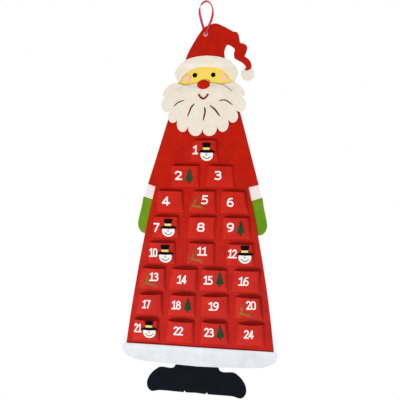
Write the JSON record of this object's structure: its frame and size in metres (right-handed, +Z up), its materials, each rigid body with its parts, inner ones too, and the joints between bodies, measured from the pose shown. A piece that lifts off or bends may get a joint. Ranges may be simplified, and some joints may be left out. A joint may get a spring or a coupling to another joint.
{
  "type": "advent calendar",
  "caption": "Felt wall-hanging advent calendar shaped as Father Christmas, with numbered pockets all down the robe, hung by a ribbon loop through an eyelet in the hat.",
  "frame": {"origin": "the point of the wall that the ribbon loop hangs on: the inner top of the loop, on the wall's plane", "axes": "+Z up along the figure, +X to the right as seen from the front, -Y out of the wall towards the viewer"},
  "size_m": [0.413, 0.021, 1.0595],
  "materials": {
    "black_felt": "matt felt, blue-black",
    "dark_red_felt": "matt felt, dark red",
    "fir_felt": "matt felt, dark green",
    "green_felt": "matt felt, leaf green",
    "pale_metal": "pale bright metal",
    "pink_felt": "matt felt, pale pink",
    "red_felt": "matt felt, bright red",
    "red_satin": "woven satin, red",
    "skin_felt": "matt felt, pale yellow",
    "tan_felt": "matt felt, tan",
    "white_felt": "matt felt, warm white"
  },
  "bodies": {
    "loop": {"hang_loop": "red_satin"},
    "figure": {"beard": "white_felt", "boots": "black_felt", "cheek_left": "pink_felt", "cheek_right": "pink_felt", "cuff_left": "white_felt", "cuff_right": "white_felt", "eye_left": "black_felt", "eye_right": "black_felt", "eyelet": "pale_metal", "face": "skin_felt", "hat": "red_felt", "hat_brim": "white_felt", "hat_pompom": "white_felt", "hem": "white_felt", "mitten_left": "green_felt", "mitten_right": "green_felt", "moustache": "white_felt", "mouth": "dark_red_felt", "nose": "red_felt", "pocket_01": "red_felt", "pocket_02": "red_felt", "pocket_03": "red_felt", "pocket_04": "red_felt", "pocket_05": "red_felt", "pocket_06": "red_felt", "pocket_07": "red_felt", "pocket_08": "red_felt", "pocket_09": "red_felt", "pocket_10": "red_felt", "pocket_11": "red_felt", "pocket_12": "red_felt", "pocket_13": "red_felt", "pocket_14": "red_felt", "pocket_15": "red_felt", "pocket_16": "red_felt", "pocket_17": "red_felt", "pocket_18": "red_felt", "pocket_19": "red_felt", "pocket_20": "red_felt", "pocket_21": "red_felt", "pocket_22": "red_felt", "pocket_23": "red_felt", "pocket_24": "red_felt", "reindeer_05": "tan_felt", "reindeer_11": "tan_felt", "reindeer_13": "tan_felt", "reindeer_20": "tan_felt", "robe": "red_felt", "snowman_01": "white_felt", "snowman_07": "white_felt", "snowman_10": "white_felt", "snowman_12": "white_felt", "snowman_21": "white_felt", "tree_02": "fir_felt", "tree_09": "fir_felt", "tree_15": "fir_felt", "tree_18": "fir_felt", "tree_23": "fir_felt"}
  },
  "joints": [
    {"name": "swing", "type": "hinge", "parent": "loop", "child": "figure", "pos_m": [0, 0, -0.091], "axis": [0, 1, 0], "range_deg": [-30, 30]}
  ]
}
